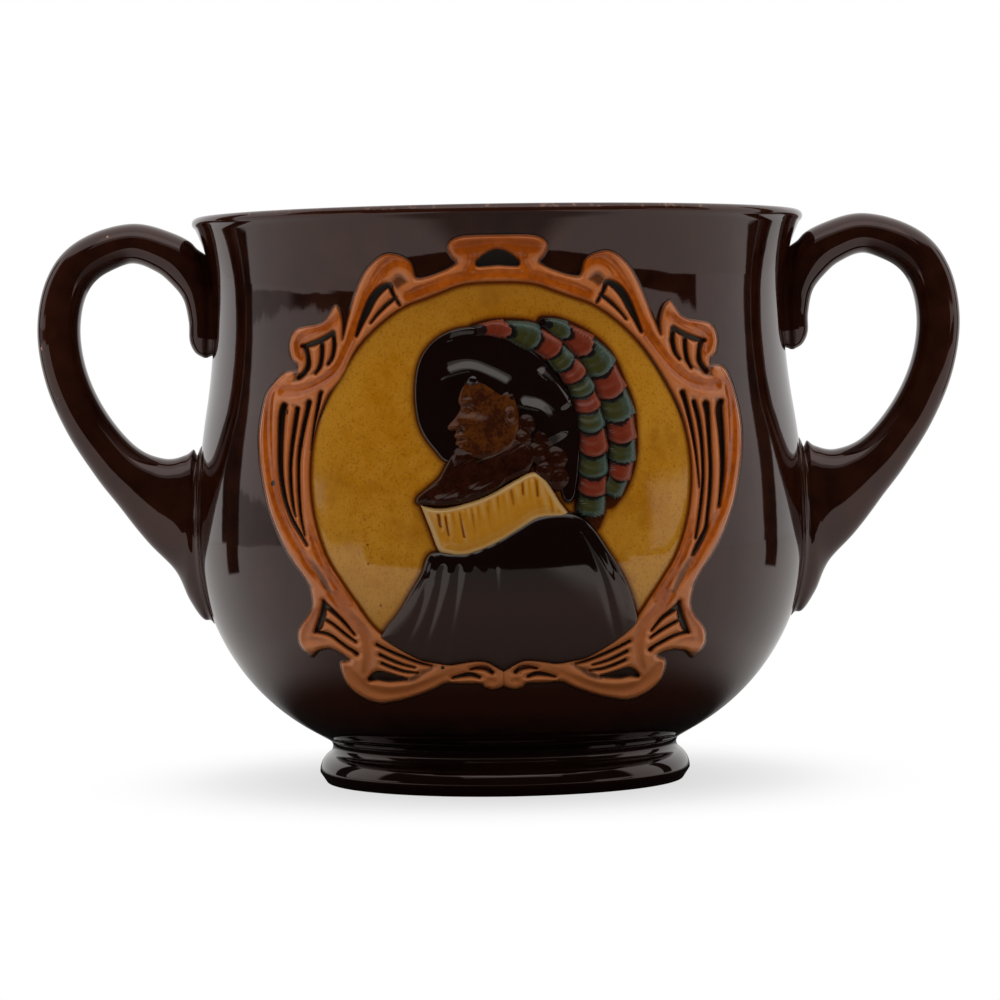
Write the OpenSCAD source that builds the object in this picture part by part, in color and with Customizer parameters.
// Two-handled loving cup in brown-glazed earthenware, with a slip-coloured
// portrait medallion in a strapwork frame. Millimetres, +Z up, origin at the
// centre of the foot, the medallion on the -Y side and the handles on X.

/* [Body] */
// Height of the cup from the table to the top of the lip
cup_h = 150; // [135:1:170]
// Outer diameter under the lip, at the top of the flare
rim_d = 160; // [154:0.5:174]
// Outer diameter at the neck, the narrowest place of the wall
neck_d = 151; // [144:0.5:155]
// How far the neck lies below the lip
neck_drop = 23; // [18:0.5:30]
// Outer diameter at the belly, the widest place of the wall
belly_d = 161.5; // [156:0.5:172]
// Height of the belly's widest place
belly_z = 64.5; // [58:0.5:70]
// Share of the neck's hollow in the curve from neck to belly
hollow_share = 0.45; // [0.3:0.05:0.6]
// Radius of the belly's round underside
under_r = 58; // [54:0.5:62]
// Thickness of the wall
wall_t = 4.5; // [3:0.25:6]
// Thickness of the floor
floor_t = 5.5; // [4:0.5:9]
// Radius of the rounded lip, on the outside
lip_r = 1.5; // [1:0.1:2.2]
// How far the lip stands proud of the flare
lip_proud = 0.9; // [0.3:0.1:1.4]

/* [Foot] */
// Slope of the belly where it runs into the waist, from upright
waist_slope = 60; // [50:1:65]
// Diameter at the waist between bowl and foot
waist_d = 91.5; // [84:0.5:96]
// Radius of the hollow round the waist
waist_r = 2.2; // [1.5:0.1:3.5]
// Largest diameter of the foot
foot_d = 98.5; // [96:0.5:108]
// Diameter of the foot where it meets the table
base_d = 95.2; // [88:0.2:96]
// Height of the foot's sharp edge above the table
foot_edge_z = 2.9; // [2:0.1:4]
// Diameter of the hollow under the foot
recess_d = 79; // [66:0.5:82]

/* [Handles] */
// How far the handle's middle line reaches out from the neck
handle_reach = 41.4; // [36:0.2:50]
// Thickness of the handle, seen from the front
handle_t = 11.4; // [9:0.2:14]
// Depth of the handle, front to back
handle_depth = 13; // [10:0.5:17]
// How far the handle's top lies below the lip, on its middle line
handle_drop = 6.2; // [5:0.2:9]
// Height of the palm where the handle joins the belly
palm_h = 46; // [38:0.5:52]
// Depth of the palm, front to back
palm_depth = 17; // [13:0.5:22]
// How far the palm reaches below the belly's widest place
palm_drop = 21.5; // [18:0.5:24]

/* [Medallion] */
// Thickness of the coloured field behind the portrait
field_t = 0.5; // [0.3:0.05:1]
// Height of the broad straps above the wall
strap_h = 2; // [1.2:0.1:3]
// Height of the thin reeds above the wall
reed_h = 1.4; // [0.8:0.1:2.2]
// Film of slip under each applied piece
slip_film = 0.05; // [0.02:0.01:0.1]
// Channel between neighbouring straps, which the glaze fills
channel = 0.25; // [0.15:0.05:0.4]

/* [Portrait] */
// Height of the cap above the field
cap_h = 3.4; // [2:0.1:4.5]
// Height of the feather tufts above the field
tuft_h = 3; // [1.5:0.1:4]
// Height of the face above the field
face_h = 2.8; // [1.5:0.1:3.6]
// Height of the hair and the beard above the field
hair_h = 2.6; // [1.5:0.1:3.6]
// Height of the pleated collar above the field
collar_h = 3.4; // [2:0.1:4.5]
// Number of pleats in the collar
collar_pleats = 9; // [6:1:12]
// Height of the cloak above the field
cloak_h = 2.8; // [1.5:0.1:4]
// Depth of the cloak's folds
cloak_fold = 0.5; // [0:0.1:0.8]

/* [Hidden] */
SIDE_FRAME = ["upper_scroll", "upper_ear", "side_strap", "reeds", "field_border", "lower_ear", "lower_scroll"];

$fn = 96;
glaze = [0.16, 0.07, 0.05];
orange_slip = [0.74, 0.4, 0.18];
ochre_slip = [0.65, 0.46, 0.12];
dark_slip = [0.09, 0.07, 0.06];

// Radii and heights that the wall's curves turn on
rim_r = rim_d/2;
neck_r = neck_d/2;
belly_r = belly_d/2;
neck_z = cup_h - neck_drop;
lip_z = cup_h - lip_r;
flare_z = lip_z - lip_r;
flare_r = bend_r(flare_z - neck_z, rim_r - neck_r);
bend_sum = bend_r(neck_z - belly_z, belly_r - neck_r);
hollow_r = bend_sum*hollow_share;
swell_r = bend_sum - hollow_r;
bend_angle = asin((neck_z - belly_z)/bend_sum);

// Radius of the arc that leaves upright and moves out by run over a rise, below 0 where it moves in
straight = 1e5;
function bend_r(rise, run) = run == 0 ? straight : (rise*rise + run*run)/(2*run);

// Outer radius of the wall at height z, on a surface that lies off outside it
function turn_z(off) = belly_z + (swell_r + off)*sin(bend_angle);
function bend_reach(r, dz) = sign(r)*sqrt(max(r*r - dz*dz, 0));
function wall_r(z, off = 0) =
    z > neck_z ? neck_r + flare_r - bend_reach(flare_r - off, z - neck_z)
    : z > turn_z(off) ? neck_r + hollow_r - bend_reach(hollow_r - off, z - neck_z)
    : z > belly_z ? belly_r - swell_r + bend_reach(swell_r + off, z - belly_z)
    : belly_r - under_r + bend_reach(under_r + off, z - belly_z);

// Where the underside leaves its arc and runs straight into the hollow of the waist
under_run = 1;
seam_r = waist_d/2 + waist_r*(1 - cos(waist_slope));
under_turn = min(waist_slope, acos((seam_r + under_run - belly_r + under_r)/under_r));
under_end = [belly_r - under_r + under_r*cos(under_turn), belly_z - under_r*sin(under_turn)];
seam_z = under_end[1] - (under_end[0] - seam_r)/tan(waist_slope);
waist_z = seam_z - waist_r*sin(waist_slope);

function arc(centre, r, from, to, steps) =
    [for (i = [0:steps]) let (a = from + (to - from)*i/steps) centre + r*[cos(a), sin(a)]];
function steps_between(a, b, n) = [for (i = [0:n]) a + (b - a)*i/n];

// The wall's outline between two heights
function wall_line(off, from_z, to_z, n) = [for (z = steps_between(from_z, to_z, n)) [wall_r(z, off), z]];

// Smooth curve through hand-set points, with more values such as a width carried along
function curve_at(p, i, t) =
    let (n = len(p) - 1, a = p[max(i - 1, 0)], b = p[i], c = p[min(i + 1, n)], d = p[min(i + 2, n)])
    0.5*(2*b + (c - a)*t + (2*a - 5*b + 4*c - d)*t*t + (3*b - a - 3*c + d)*t*t*t);
function curve(p, n) = concat(
    [for (i = [0:len(p) - 2], k = [0:n - 1]) curve_at(p, i, k/n)],
    [p[len(p) - 1]]);
function ring_at(p, i, t) =
    let (n = len(p), a = p[(i + n - 1)%n], b = p[i], c = p[(i + 1)%n], d = p[(i + 2)%n])
    0.5*(2*b + (c - a)*t + (2*a - 5*b + 4*c - d)*t*t + (3*b - a - 3*c + d)*t*t*t);
function ring(p, n) = [for (i = [0:len(p) - 1], k = [0:n - 1]) ring_at(p, i, k/n)];
function reversed(p) = [for (i = [len(p) - 1:-1:0]) p[i]];
function unit(v) = v/norm(v);

// Strapwork of the right half: points along each strap as x, z and half width
scroll = [[20.5, 134, 2.1], [22.5, 136, 2.3], [25.5, 136.5, 2.4], [28.5, 134.5, 2.4], [31, 130.5, 2.4],
    [33.5, 125, 2.3], [36, 119.5, 2.2], [39.5, 114, 2.1], [43, 109.5, 2.1], [47, 106, 2.2], [51, 104.5, 2.3],
    [54.5, 104.5, 2.5]];
slot_rib = [[26.5, 128.5, 0.6], [28.5, 125.5, 0.6], [30.5, 122.5, 0.4], [32, 120, 0.25]];
upper_border = [[24, 126, 1], [28.5, 123.8, 0.9], [31, 121.2, 0.9], [33.7, 117.5, 0.8], [37, 112.3, 0.8],
    [40.3, 107.6, 0.9], [43.3, 102, 1.1], [45.7, 96.5, 0.7], [47, 91.5, 0.4]];
side_border = [[46.2, 101.8, 0.5], [47.5, 98, 0.7], [48.6, 93.5, 0.9], [49.2, 88.5, 1.1], [49.4, 83.5, 1.2],
    [49.3, 78.5, 1.3], [48.7, 73, 1.4], [47.4, 68, 1.6], [45.5, 63, 1.7], [43, 58.5, 1.7], [40.8, 54.8, 1.8],
    [38.4, 51.4, 1.8]];
lower_border = [[31.5, 43.6, 1], [28.2, 40.6, 1.1], [23.4, 38, 1.1], [18.6, 36.2, 0.9], [15, 35, 0.6]];
side_strap = [[56, 107.8, 1.2], [57.8, 104.5, 1.7], [58.5, 100, 1.8], [58.7, 94, 1.9], [58.4, 87.5, 1.9],
    [57.5, 80.8, 1.9], [55.7, 74.5, 1.8], [53, 68.7, 1.8], [50.2, 63.8, 1.7], [47.6, 59.2, 1.6], [45, 55.2, 1.2]];
side_reeds = [
    [[53, 99.2, 0.7], [53.5, 94, 0.7], [54.1, 87.5, 0.7], [54, 81.5, 0.7], [53.2, 76, 0.5], [52.1, 71.5, 0.3]],
    [[50, 99.8, 0.6], [51, 94.5, 0.6], [51.7, 88.5, 0.6], [51.9, 82.5, 0.6], [51.6, 77.5, 0.5], [50.8, 72.5, 0.4],
        [49.7, 68.8, 0.25]]];
ear_band = [[41, 125, 1], [42.3, 122.8, 1.5], [45.5, 120.5, 1.7], [49.2, 119.2, 1.7], [52.3, 117.5, 1.9],
    [52.8, 115, 1.9], [52, 112.7, 1.6], [51, 110.4, 1.1]];
ear_edge = [[40.6, 124, 0.8], [40.8, 121, 0.9], [41.4, 118, 1]];
ear_ribs = [
    [[48, 116.5, 0.8], [48, 114, 0.9], [48.5, 111.2, 0.7]],
    [[44.6, 117.8, 0.8], [44.8, 115, 0.8], [45.5, 112.6, 0.6]]];
low_ear_arms = [
    [[45.8, 53, 0.9], [45.7, 49.5, 1.3], [46.8, 46.5, 1.9], [48.6, 43.3, 2.3], [49.2, 41, 2.1]],
    [[49.2, 40, 2], [46, 40.2, 1.7], [42, 39.6, 1.3], [38.7, 38, 1.3], [36.8, 37, 0.9]]];
low_ear_ribs = [
    [[43, 47.5, 0.8], [39.8, 45.8, 1.2], [37.2, 43.5, 1]],
    [[43.6, 44, 0.9], [40.2, 42.5, 1.2], [36.9, 40.5, 1]]];
low_neck = [[41.8, 52.2, 2.2], [38.4, 48, 2.2], [35.3, 45, 2.2], [33.6, 41.4, 2.2], [33.5, 37.6, 2.2], [34.4, 33.5, 2]];
low_scroll = [[39.6, 35, 1.6], [38.6, 33, 2.2], [36.2, 30.8, 2.2], [33, 28.8, 2.1], [29, 28.1, 2.1],
    [24.2, 28.8, 2.1], [19.8, 30.4, 1.9], [16, 32.3, 1.6], [12.4, 34.2, 1.5], [9, 35.3, 1.4], [5.5, 35.7, 1.3],
    [2.8, 34.6, 1.2], [1.9, 32.6, 1.2]];
low_bar = [[11.7, 31.4, 0.6], [8.2, 31.3, 0.6], [4, 31.5, 0.7]];
loop_rib = [[7.6, 34.2, 0.4], [5, 33.6, 0.5], [3, 32.4, 0.8]];
knot = [3, 31.5, 1.9];
low_reeds = [
    [[30.3, 39.6, 0.3], [26.3, 36.9, 0.5], [21.5, 34.8, 0.4]],
    [[30.4, 37.6, 0.5], [27, 35.5, 0.6], [22.5, 33.6, 0.5]],
    [[30.6, 35.5, 0.5], [27.6, 33.7, 0.7], [23.5, 32.2, 0.6], [20.5, 33, 0.3]]];
crest_bar = [[0, 140.4, 1.5], [3, 140, 2.2], [6.2, 139.4, 2.8], [9.2, 139.2, 2.4]];
crest_leg = [[6.2, 137.4, 1.9], [6.2, 135.4, 1.9], [7.4, 133.4, 1.9]];
crest_band = [[0, 132.8, 1.7], [4, 132.7, 1.7], [9.5, 132, 2], [15.2, 130.3, 2], [19.5, 128.8, 2.3], [22.2, 127.6, 2.1]];
field_edge = [[0, 131], [12, 130], [23, 126], [31, 120.3], [37, 111.8], [42.5, 102.5], [46.4, 92], [48.3, 82],
    [47.6, 71], [44.6, 62], [40, 54], [35, 47.5], [30, 42.6], [24, 38.6], [17, 36], [8, 35]];

// Outline of a strap: both edges of its curve, with round ends
function side_of(c, i) =
    let (n = len(c) - 1, d = unit([for (k = [0:1]) c[min(i + 1, n)][k] - c[max(i - 1, 0)][k]]))
    [-d[1], d[0]];
function edge_of(c, s, grow) =
    [for (i = [0:len(c) - 1]) [c[i][0], c[i][1]] + s*(c[i][2] + grow)*side_of(c, i)];
function cap_of(c, i, grow, from) =
    let (v = side_of(c, i), a = atan2(v[1], v[0]))
    [for (k = [1:3]) [c[i][0], c[i][1]] + (c[i][2] + grow)*[cos(a + from + 45*k), sin(a + from + 45*k)]];
function strap_line(p, grow = 0) =
    let (c = curve(p, 3), n = len(c) - 1)
    concat(edge_of(c, -1, grow), cap_of(c, n, grow, 180), reversed(edge_of(c, 1, grow)), cap_of(c, 0, grow, 0));

module strap(p, grow = 0) {
    polygon(strap_line(p, grow));
}

module both_sides() {
    children();
    mirror([1, 0]) children();
}

// The medallion is drawn for a cup of this height, and rises by half of what is added
drawn_h = 150;
medallion_rise = (cup_h - drawn_h)/2;

// Shell of the wall between two distances outside it, as far as the medallion reaches
medallion_low = 24 + medallion_rise;
medallion_high = 145 + medallion_rise;
shell_steps = 48;
behind_front = neck_r/3;
module wall_shell(inner, outer) {
    rotate_extrude()
        polygon(concat(
            wall_line(outer, medallion_low, medallion_high, shell_steps),
            reversed(wall_line(inner, medallion_low, medallion_high, shell_steps))));
}

// Flat outline pressed onto the front of the wall, as a mould draws it from the front
module emboss(inner, outer) {
    intersection() {
        translate([0, -behind_front, 0])
            rotate([90, 0, 0])
                linear_extrude(height = belly_r)
                    translate([0, medallion_rise])
                        children();
        wall_shell(inner, outer);
    }
}

module strap_piece(h) {
    color(orange_slip) emboss(slip_film, h) children();
}

// Point of the medallion on a surface that lies off outside the front of the wall
function on_wall(x, drawn_z, off) =
    let (z = drawn_z + medallion_rise)
    [x, -sqrt(pow(wall_r(z, off), 2) - x*x), z];

// Raised patch between two rails: across it the height swells as a cushion does, from an edge to the full height
cushion_edge = 0.35;
end_rise = 0.35;
function swell(t) = cushion_edge + (1 - cushion_edge)*sqrt(1 - pow(2*t - 1, 2));
module patch(rail_a, rail_b, h, per_span, across, base, waves = 0, ripple = 0) {
    a = curve(rail_a, per_span);
    b = curve(rail_b, per_span);
    n = len(a) - 1;
    function flat(i, j) = a[i] + (b[i] - a[i])*j/across;
    function rise(i, j) = h*swell(j/across)*(end_rise + (1 - end_rise)*swell(i/n))
        - ripple*(1 - cos(360*waves*i/n))/2*swell(j/across)*swell(i/n);
    top = [for (i = [0:n], j = [0:across]) let (p = flat(i, j)) on_wall(p[0], p[1], base + rise(i, j))];
    bottom = [for (i = [0:n], j = [0:across]) let (p = flat(i, j)) on_wall(p[0], p[1], base)];
    closed_sheet(top, bottom, n, across);
}

// Closed solid from a grid of points and a second grid behind it
module closed_sheet(top, bottom, rows, cols) {
    w = cols + 1;
    m = len(top);
    function tri(a, b, c, d) = [[a, b, c], [a, c, d]];
    faces = concat(
        [for (i = [0:rows - 1], j = [0:cols - 1], f = tri(i*w + j, i*w + j + 1, (i + 1)*w + j + 1, (i + 1)*w + j)) f],
        [for (i = [0:rows - 1], j = [0:cols - 1],
            f = tri(m + i*w + j, m + (i + 1)*w + j, m + (i + 1)*w + j + 1, m + i*w + j + 1)) f],
        [for (i = [0:rows - 1], f = tri(i*w, (i + 1)*w, m + (i + 1)*w, m + i*w)) f],
        [for (i = [0:rows - 1], f = tri(i*w + cols, m + i*w + cols, m + (i + 1)*w + cols, (i + 1)*w + cols)) f],
        [for (j = [0:cols - 1], f = tri(j, m + j, m + j + 1, j + 1)) f],
        [for (j = [0:cols - 1], f = tri(rows*w + j, rows*w + j + 1, m + rows*w + j + 1, m + rows*w + j)) f]);
    polyhedron(points = concat(top, bottom), faces = faces, convexity = 6);
}

// Raised cushion inside a closed outline, which every point of its edge can be seen from the middle of
module cushion(line, middle, h, base, rings = 4) {
    n = len(line);
    function flat(k, i) = middle + (line[i] - middle)*k/rings;
    top = concat(
        [on_wall(middle[0], middle[1], base + h)],
        [for (k = [1:rings], i = [0:n - 1]) let (p = flat(k, i)) on_wall(p[0], p[1], base + h*swell(0.5 + k/rings/2))]);
    bottom = concat(
        [on_wall(middle[0], middle[1], base)],
        [for (k = [1:rings], i = [0:n - 1]) let (p = flat(k, i)) on_wall(p[0], p[1], base)]);
    m = len(top);
    function at(k, i) = 1 + (k - 1)*n + i%n;
    faces = concat(
        [for (i = [0:n - 1]) [0, at(1, i + 1), at(1, i)]],
        [for (i = [0:n - 1]) [m, m + at(1, i), m + at(1, i + 1)]],
        [for (k = [1:rings - 1], i = [0:n - 1]) [at(k, i), at(k, i + 1), at(k + 1, i + 1)]],
        [for (k = [1:rings - 1], i = [0:n - 1]) [at(k, i), at(k + 1, i + 1), at(k + 1, i)]],
        [for (k = [1:rings - 1], i = [0:n - 1]) [m + at(k, i), m + at(k + 1, i + 1), m + at(k, i + 1)]],
        [for (k = [1:rings - 1], i = [0:n - 1]) [m + at(k, i), m + at(k + 1, i), m + at(k + 1, i + 1)]],
        [for (i = [0:n - 1]) [at(rings, i), at(rings, i + 1), m + at(rings, i + 1)]],
        [for (i = [0:n - 1]) [at(rings, i), m + at(rings, i + 1), m + at(rings, i)]]);
    polyhedron(points = concat(top, bottom), faces = faces, convexity = 6);
}

// The bowl: a turned shell with a flared neck, a round belly and a rounded lip
lip_edge = rim_r + lip_proud - lip_r;
lip_inner_r = wall_t - lip_proud;
wall_steps = 60;
module bowl() {
    floor_z = seam_z + floor_t;
    inner_r = under_r - wall_t;
    corner_r = belly_r - under_r + sqrt(inner_r*inner_r - pow(belly_z - floor_z, 2));
    color(glaze)
        rotate_extrude()
            polygon(concat(
                [[0, seam_z + slip_film], [seam_r, seam_z + slip_film]],
                wall_line(0, under_end[1], flare_z, wall_steps),
                arc([lip_edge, lip_z], lip_r, -40, 90, 6),
                arc([lip_edge, lip_z + lip_r - lip_inner_r], lip_inner_r, 90, 150, 4),
                reversed(wall_line(-wall_t, floor_z, flare_z - lip_r, wall_steps)),
                [[0, floor_z]]));
}

// The foot: a turned ring with a hollow waist, a rolled flange and a bevel
recess_taper = 2;
module foot_ring() {
    roll_from = [waist_d/2 + waist_r*(1 - cos(waist_slope)), waist_z - waist_r*sin(waist_slope)];
    rise = roll_from[1] - foot_edge_z;
    run = foot_d/2 - roll_from[0];
    roll_r = (rise*rise + run*run)/(2*run);
    roll_from_angle = asin(rise/roll_r);
    color(glaze)
        rotate_extrude()
            polygon(concat(
                [[recess_d/2, 0], [base_d/2, 0]],
                arc([foot_d/2 - roll_r, foot_edge_z], roll_r, 0, roll_from_angle, 8),
                arc([waist_d/2 + waist_r, waist_z], waist_r, 180 + waist_slope, 180 - waist_slope, 12),
                [[recess_d/2 - recess_taper, seam_z]]));
}

// Right handle: middle line as x, z, half thickness, half depth and the tilt of each section
handle_half = handle_t/2;
handle_deep = handle_depth/2;
reach_x = neck_r + handle_reach;
top_z = cup_h - handle_drop;
palm_mid = belly_z - palm_drop + palm_h/2;
handle_line = [
    [neck_r + 2.4, cup_h - 36.8, 0.6, 1.5, 90],
    [neck_r + 2.7, cup_h - 35.3, 2.6, 3.4, 90],
    [neck_r + 2.9, cup_h - 32, 3.8, 4.6, 88],
    [neck_r + 2.9, cup_h - 26.5, 4, 5.2, 84],
    [neck_r + 3.9, cup_h - 19.3, 4.7, 5.8, 70],
    [neck_r + 7.4, cup_h - 12.6, handle_half + 0.2, handle_deep - 0.3, 44],
    [neck_r + 13.5, cup_h - 8.4, handle_half - 0.1, handle_deep, 20],
    [neck_r + 22.2, top_z, handle_half - 0.4, handle_deep, 0],
    [reach_x - 8.2, cup_h - 10.2, handle_half, handle_deep, -42],
    [reach_x - 2.2, cup_h - 17.6, handle_half, handle_deep, -64],
    [reach_x, cup_h - 29, handle_half, handle_deep, -90],
    [reach_x - 1.8, cup_h - 41.5, handle_half, handle_deep, -107],
    [reach_x - 7, cup_h - 53.5, handle_half + 0.2, handle_deep + 0.1, -121],
    [reach_x - 14.6, palm_mid + 19.9, handle_half + 1, handle_deep + 0.2, -128],
    [belly_r + 14.4, palm_mid + 13.8, handle_half + 3.2, handle_deep + 0.5, -140],
    [belly_r + 8.2, palm_mid + 9.9, handle_half + 7, handle_deep + 0.9, -156],
    [belly_r + 3.6, palm_mid + 7, palm_h/2 - 6.7, palm_depth/2 - 0.8, -170],
    [belly_r + 1.2, palm_mid + 2.3, palm_h/2 - 3.5, palm_depth/2, -176],
    [belly_r - 1, palm_mid + 0.4, palm_h/2 - 0.3, palm_depth/2 + 0.6, -180],
    [belly_r - wall_t, palm_mid, palm_h/2, palm_depth/2 + 0.6, -180]];
handle_sides = 18;
section_power = 0.88;

function rounded(a) = let (c = cos(a), s = sin(a)) [sign(c)*pow(abs(c), section_power), sign(s)*pow(abs(s), section_power)];
function handle_ring(q) =
    [for (k = [0:handle_sides - 1])
        let (s = rounded(360*k/handle_sides))
        [q[0] - q[2]*s[0]*sin(q[4]), q[3]*s[1], q[1] + q[2]*s[0]*cos(q[4])]];

module handle() {
    line = curve(handle_line, 3);
    n = len(line) - 1;
    w = handle_sides;
    points = [for (q = line, p = handle_ring(q)) p];
    faces = concat(
        [[for (k = [0:w - 1]) k]],
        [for (i = [0:n - 1], k = [0:w - 1]) [i*w + k, (i + 1)*w + k, (i + 1)*w + (k + 1)%w]],
        [for (i = [0:n - 1], k = [0:w - 1]) [i*w + k, (i + 1)*w + (k + 1)%w, i*w + (k + 1)%w]],
        [[for (k = [w - 1:-1:0]) n*w + k]]);
    color(glaze)
        difference() {
            polyhedron(points = points, faces = faces, convexity = 8);
            rotate_extrude()
                polygon(concat(
                    [[0, under_end[1]]],
                    wall_line(slip_film, under_end[1], flare_z, wall_steps),
                    [[0, flare_z]]));
        }
}

module left_handle() {
    mirror([1, 0, 0]) handle();
}

module right_handle() {
    handle();
}

// The coloured field, trimmed back from every strap of the frame round it
module portrait_field() {
    color(ochre_slip)
        emboss(slip_film, field_t)
            difference() {
                polygon(ring(concat(field_edge, reversed([for (i = [1:len(field_edge) - 1])
                    [-field_edge[i][0], field_edge[i][1]]])), 3));
                both_sides() {
                    strap(upper_border, channel);
                    strap(side_border, channel);
                    strap(lower_border, channel);
                    strap(crest_band, channel);
                    strap(low_neck, channel);
                    strap(low_scroll, channel);
                    strap(scroll, channel);
                }
            }
}

module frame_crest() {
    strap_piece(strap_h)
        both_sides() {
            strap(crest_bar);
            strap(crest_leg);
            strap(crest_band);
        }
}

// The frame's straps on the right
module upper_scroll() {
    strap_piece(strap_h)
        difference() {
            strap(scroll);
            strap(crest_band, channel);
        }
}

module upper_ear() {
    strap_piece(strap_h)
        difference() {
            union() {
                strap(ear_band);
                strap(ear_edge);
                for (p = ear_ribs) strap(p);
            }
            strap(scroll, channel);
        }
}

module side_strap() {
    strap_piece(strap_h)
        difference() {
            strap(side_strap);
            strap(scroll, channel);
            strap(side_border, channel);
        }
}

module reeds() {
    strap_piece(reed_h)
        difference() {
            union() {
                for (p = side_reeds) strap(p);
                for (p = low_reeds) strap(p);
                strap(slot_rib);
            }
            strap(scroll, channel);
            strap(low_neck, channel);
            strap(low_scroll, channel);
            strap(lower_border, channel);
        }
}

module field_border() {
    strap_piece(strap_h)
        difference() {
            union() {
                strap(upper_border);
                strap(side_border);
                strap(lower_border);
            }
            strap(scroll, channel);
            strap(crest_band, channel);
            strap(low_neck, channel);
            strap(low_scroll, channel);
        }
}

module lower_ear() {
    strap_piece(strap_h)
        difference() {
            union() {
                for (p = low_ear_arms) strap(p);
                for (p = low_ear_ribs) strap(p);
            }
            strap(low_neck, channel);
            strap(low_scroll, channel);
            strap(side_strap, channel);
            strap(side_border, channel);
        }
}

module lower_scroll() {
    strap_piece(strap_h)
        difference() {
            union() {
                strap(low_neck);
                strap(low_scroll);
                strap(low_bar);
                strap(loop_rib);
                translate([knot[0], knot[1]]) circle(r = knot[2], $fn = 32);
            }
            strap(side_strap, channel);
            strap(side_border, channel);
        }
}

module frame_side(name) {
    if (name == "upper_scroll") upper_scroll();
    if (name == "upper_ear") upper_ear();
    if (name == "side_strap") side_strap();
    if (name == "reeds") reeds();
    if (name == "field_border") field_border();
    if (name == "lower_ear") lower_ear();
    if (name == "lower_scroll") lower_scroll();
}

// The portrait: each coloured slip is a cushion or a patch that lies on the field
portrait_base = field_t + slip_film;
cap_outer = [[-14.5, 85.5], [-19.5, 90], [-21.3, 98], [-20.3, 107], [-16, 115], [-8.4, 117.2], [0.6, 115], [7.8, 112],
    [14.6, 106.2], [18.4, 97], [18.6, 81]];
cap_inner = [[-13.2, 86.6], [-14.4, 90.5], [-14.6, 95], [-13.2, 99], [-11.6, 103.5], [-8, 107.4], [-2.5, 108.2], [4, 106],
    [10.2, 100.5], [14.6, 91], [15.8, 80.5]];
face_line = [[-7.6, 106.2], [-10, 103], [-10.3, 100.6], [-10, 99.4], [-11.4, 97], [-12.9, 94.6], [-10.9, 93.6], [-11.4, 92.2],
    [-10.7, 91.2], [-11, 90.2], [-10, 89], [-5, 88.4], [0, 90.2], [2.6, 94.5], [3.2, 100], [1.5, 104.6], [-3, 106.8]];
face_middle = [-4, 97.5];
hair_front = [[5, 103.5], [4.4, 99], [4, 95], [3.6, 90.8], [5.4, 86.4], [10.2, 84.6], [13.2, 80]];
hair_back = [[6.4, 103], [9.4, 99.5], [11.6, 95.5], [12.9, 91.5], [13.6, 88], [14.2, 84.4], [14.9, 80.2]];
beard_upper = [[2.4, 89.8], [-2, 88], [-8, 87.6], [-13, 84.6], [-17, 80.2], [-19.8, 77]];
beard_lower = [[4.4, 85.6], [1.4, 82.6], [-4.6, 79], [-11, 76.8], [-16.4, 76.4], [-19.9, 76.6]];
collar_upper = [[-19.8, 75.6], [-11.6, 75.7], [-4, 78], [2.4, 81.8], [6.8, 83.6], [10.8, 81.6], [13.6, 77.6], [16, 74.4]];
collar_lower = [[-15.8, 63.4], [-8.2, 62.6], [-0.8, 65.8], [5.4, 70.6], [9, 72.2], [11.8, 73], [14, 73.4], [16, 73.6]];
cloak_upper = [[-28.2, 45.2], [-24.8, 50.6], [-20.6, 57], [-16.8, 62.2], [-8.2, 61.2], [-0.2, 64.6], [6, 69.3], [11.4, 71.6],
    [16.6, 72.2], [20.4, 70.6], [25, 64.6], [29.6, 56.4], [32.4, 50.4]];
cloak_lower = [[-27, 43.4], [-24, 41.4], [-20, 39.4], [-15, 38], [-9.5, 37.8], [-4.5, 38], [0, 38], [4.5, 38], [9.5, 37.8],
    [15, 38.2], [20, 40], [25.6, 43], [30.8, 47.4]];

module cap() {
    color(dark_slip) patch(cap_outer, cap_inner, cap_h, 3, 7, portrait_base);
}

module face() {
    color([0.42, 0.24, 0.1]) cushion(ring(face_line, 2), face_middle, face_h, portrait_base, 5);
}

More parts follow.
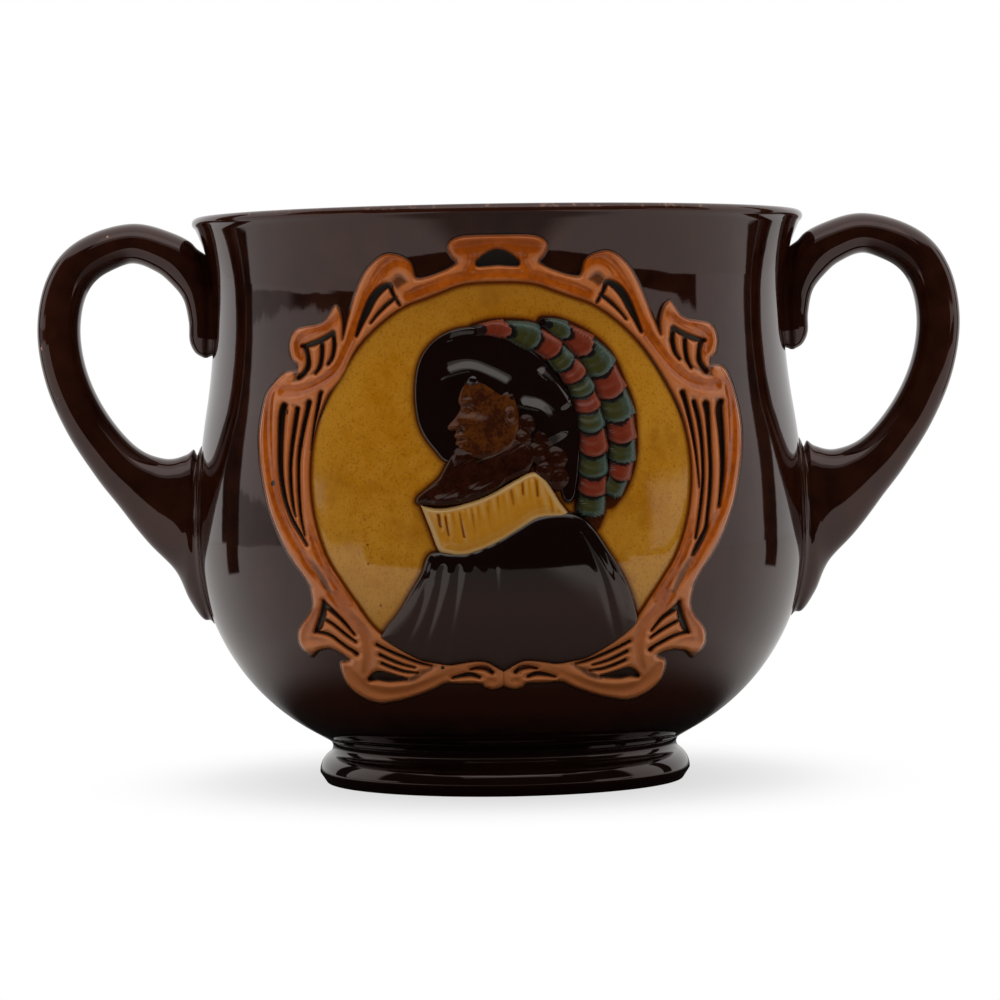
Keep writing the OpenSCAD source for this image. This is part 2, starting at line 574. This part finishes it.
module hair() {
    color([0.2, 0.09, 0.04]) patch(hair_front, hair_back, hair_h, 3, 5, portrait_base, waves = 4, ripple = 0.5);
}

module beard() {
    color([0.17, 0.08, 0.04]) patch(beard_upper, beard_lower, hair_h, 3, 6, portrait_base);
}

module collar() {
    color([0.78, 0.57, 0.26])
        patch(collar_upper, collar_lower, collar_h, 6, 5, portrait_base, waves = collar_pleats, ripple = 0.6);
}

module cloak() {
    color(dark_slip) patch(cloak_upper, cloak_lower, cloak_h, 3, 7, portrait_base, waves = 6, ripple = cloak_fold);
}

// Feather tufts along two curves, red and green in turn
plumes = [
    [[-5.8, 119.6], [3.2, 118.2], [10.4, 115], [16.4, 109.8], [20.2, 104], [22.2, 97.5], [23, 90], [22.8, 83], [21.6, 73]],
    [[10.8, 121.2], [17, 118.4], [23, 113], [27.2, 106], [29.6, 99], [30.9, 91.5], [30.6, 85.5], [28.6, 78.6]]];
tuft_counts = [12, 9];
tuft_reach = 3;
tuft_sides = 14;
function tuft_at(r, s) =
    let (p = plumes[r], q = s*(len(p) - 1)/tuft_counts[r], i = min(floor(q), len(p) - 2))
    curve_at(p, i, q - i);
function tuft_line(r, i) =
    let (along = (tuft_at(r, i + 1) - tuft_at(r, i))/2, v = unit(along), u = [-v[1], v[0]], half = norm(along) - channel/2)
    [for (k = [0:tuft_sides - 1])
        tuft_at(r, i + 0.5) + tuft_reach*cos(360*k/tuft_sides)*u + half*sin(360*k/tuft_sides)*v];

module tufts(first) {
    for (r = [0:1], i = [0:tuft_counts[r] - 1])
        if ((i + r)%2 == first)
            cushion(tuft_line(r, i), tuft_at(r, i + 0.5), tuft_h, portrait_base, 3);
}

module red_tufts() {
    color([0.55, 0.2, 0.1]) tufts(0);
}

module green_tufts() {
    color([0.24, 0.27, 0.13]) tufts(1);
}

bowl();
foot_ring();
left_handle();
right_handle();
portrait_field();
frame_crest();
for (f = SIDE_FRAME) {
    frame_side(f);
    mirror([1, 0, 0]) frame_side(f);
}
cap();
red_tufts();
green_tufts();
face();
hair();
beard();
collar();
cloak();
